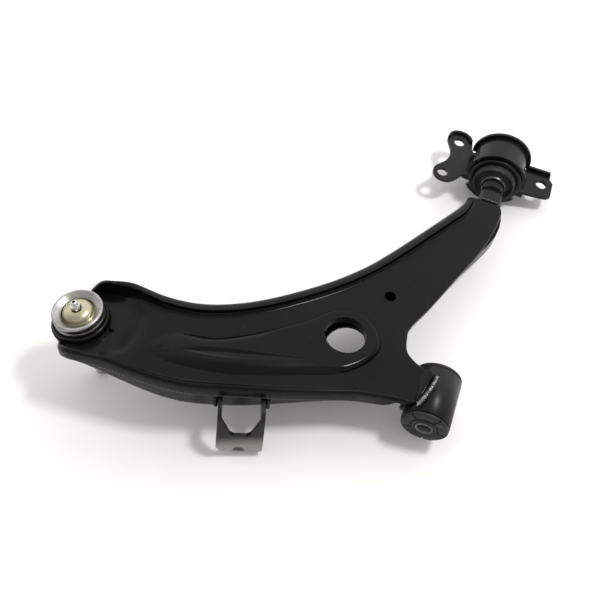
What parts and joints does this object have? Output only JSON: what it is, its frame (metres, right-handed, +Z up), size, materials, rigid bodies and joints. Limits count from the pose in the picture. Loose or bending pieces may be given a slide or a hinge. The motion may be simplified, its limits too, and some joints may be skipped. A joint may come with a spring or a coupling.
{
  "type": "control arm",
  "caption": "Pressed-steel front lower control arm with ball joint, front bush, stabiliser-link bracket and clamped rear bush.",
  "frame": {"origin": "bottom centre of the lying arm's bounding box, on the floor plane", "axes": "+Y along the pivot axis from the front bush to the rear bush, +Z up with the ball-joint cap upward, +X from the ball joint to the bushes"},
  "size_m": [0.3384, 0.3818, 0.0889],
  "materials": {
    "paint_black": "gloss",
    "weld_painted": "satin",
    "weld_bare": "bare weld, rippled",
    "rubber_black": "matte",
    "zinc_steel": "satin",
    "zinc_ring": "zinc plated, turned",
    "chromate_cap": "yellow chromate",
    "bright_steel": "polished",
    "spring_steel": "satin",
    "seat_plastic": "matte"
  },
  "bodies": {
    "arm": {"face_shell": "paint_black", "back_shell": "paint_black", "near_seam_weld": "weld_painted", "far_seam_weld": "weld_painted", "bush_tube": "paint_black", "front_rubber": "rubber_black", "tube_weld": "weld_bare", "tube_weld_lower": "weld_painted", "pivot_pin": "paint_black", "pin_weld": "weld_painted", "rear_inner_sleeve": "zinc_steel", "stab_bracket": "paint_black", "link_weld_left": "weld_painted", "link_weld_right": "weld_painted", "pad_collar": "paint_black", "ball_housing": "zinc_ring", "ball_cap": "chromate_cap", "grease_nipple": "bright_steel", "upper_seat": "seat_plastic", "preload_spring": "spring_steel", "lower_seat": "seat_plastic", "dust_boot": "rubber_black", "boot_ring_large": "spring_steel"},
    "front_sleeve": {"front_inner_sleeve": "zinc_steel"},
    "rear_bracket": {"rear_rubber": "rubber_black", "rear_outer_sleeve": "paint_black", "rear_strap_upper": "paint_black", "rear_strap_lower": "paint_black"},
    "stud_swing": {"boot_ring_small": "spring_steel"},
    "stud": {"ball_stud": "bright_steel"}
  },
  "joints": [
    {"name": "front_bush", "type": "hinge", "parent": "arm", "child": "front_sleeve", "pos_m": [0.11671, -0.10904, 0.02923], "axis": [0, 1, 0], "range_deg": [-25, 25], "stiffness_Nm_per_rad": 20},
    {"name": "rear_bush", "type": "hinge", "parent": "arm", "child": "rear_bracket", "pos_m": [0.11671, 0.15436, 0.02923], "axis": [0, 1, 0], "range_deg": [-18, 18], "stiffness_Nm_per_rad": 40},
    {"name": "ball_swing", "type": "hinge", "parent": "arm", "child": "stud_swing", "pos_m": [-0.14619, -0.14964, 0.06252], "axis": [0, 1, 0], "range_deg": [-20, 20], "deforming": ["dust_boot"]},
    {"name": "ball_spin", "type": "hinge", "parent": "stud_swing", "child": "stud", "pos_m": [-0.14619, -0.14964, 0.06252], "axis": [-0.0523, 0, 0.9986], "continuous": true}
  ]
}
